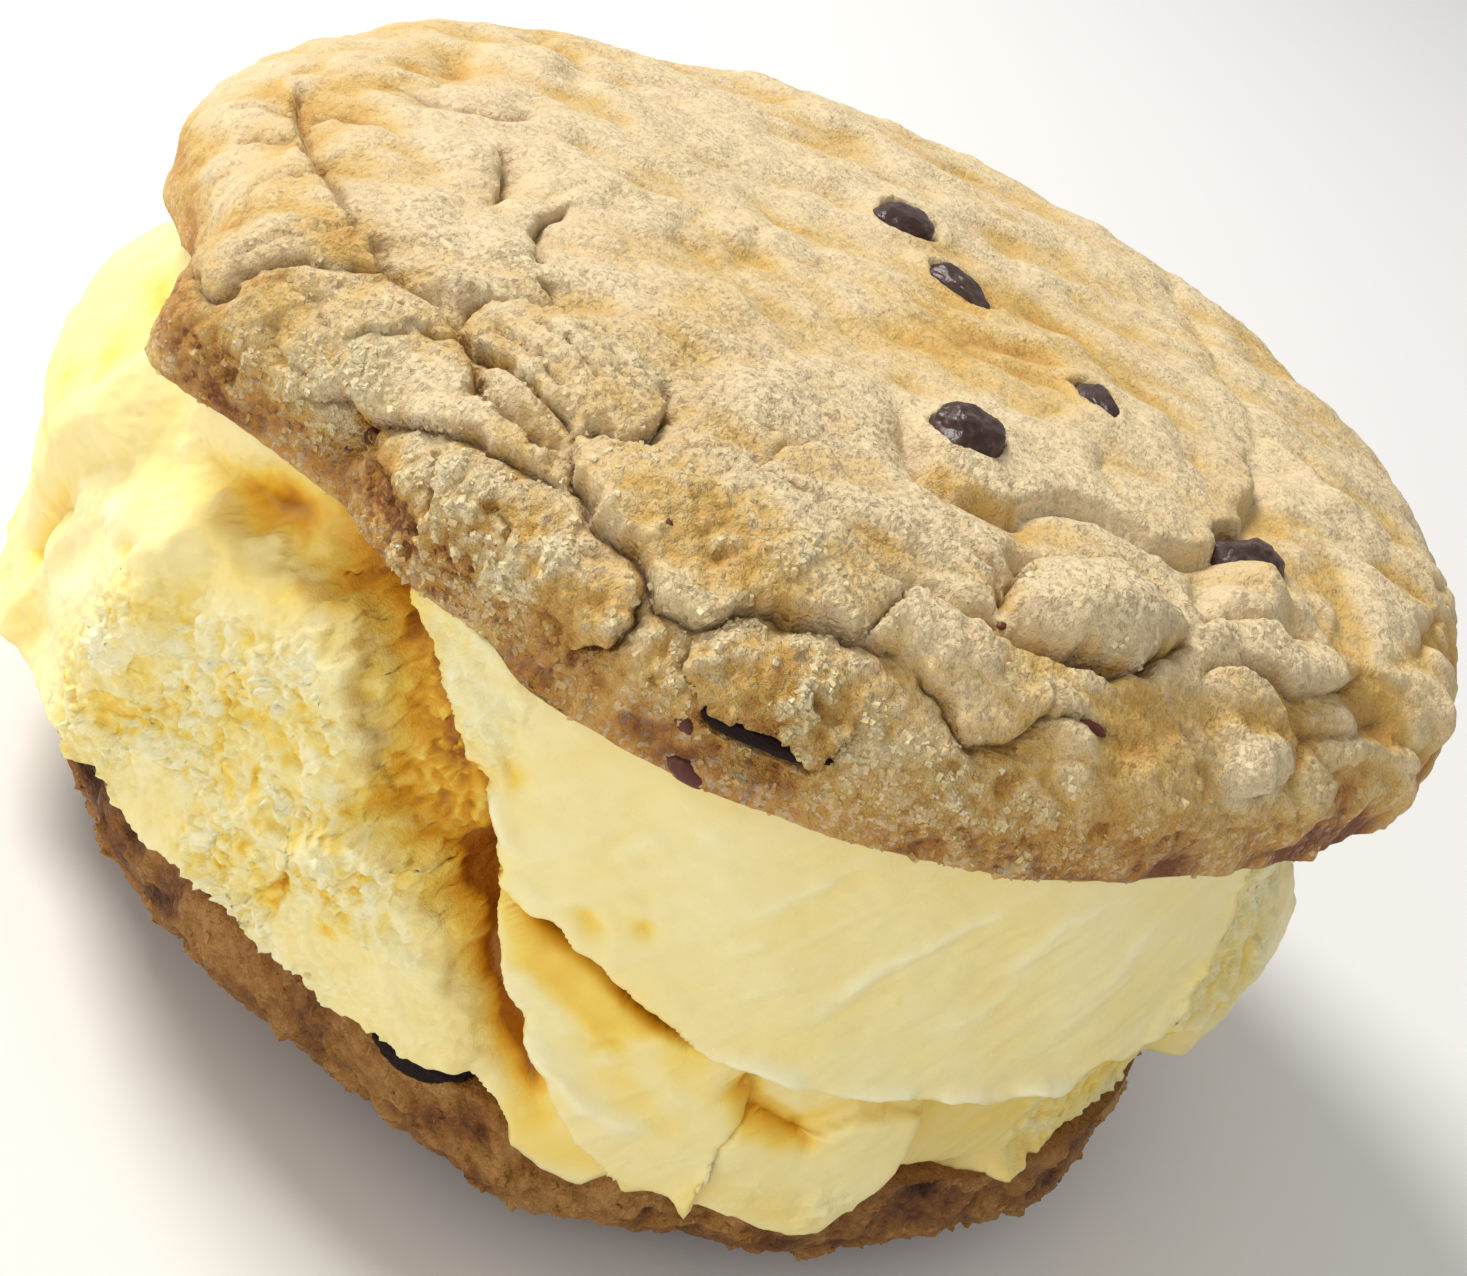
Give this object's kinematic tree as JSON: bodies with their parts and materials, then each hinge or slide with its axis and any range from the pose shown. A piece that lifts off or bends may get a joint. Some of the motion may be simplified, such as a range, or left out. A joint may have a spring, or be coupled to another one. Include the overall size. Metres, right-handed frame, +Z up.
{
  "type": "ice cream sandwich",
  "caption": "A thick slab of pale yellow scooped ice cream between two soft round cookies with dark chocolate chips",
  "frame": {"origin": "on the ground, at the middle of the lower cookie's flat resting spot", "axes": "+Z up through the stack, +Y from the front of the sandwich to its back, +X to the right seen from the front"},
  "size_m": [0.0964, 0.0948, 0.0578],
  "materials": {
    "cookie_top": "baked cookie crumb, golden, dry and grainy",
    "cookie_bottom": "baked cookie crumb, browned, dry and grainy",
    "ice_cream": "frozen dairy, satin with wet patches, slightly translucent",
    "chocolate": "dark chocolate, smooth and glossy"
  },
  "bodies": {
    "root": {"top_cookie": "cookie_top", "bottom_cookie": "cookie_bottom", "ice_cream": "ice_cream", "chip_1": "chocolate", "chip_2": "chocolate", "chip_3": "chocolate", "chip_4": "chocolate", "chip_5": "chocolate", "chip_6": "chocolate", "chip_7": "chocolate", "chip_8": "chocolate", "chip_9": "chocolate", "chip_10": "chocolate"}
  },
  "joints": []
}
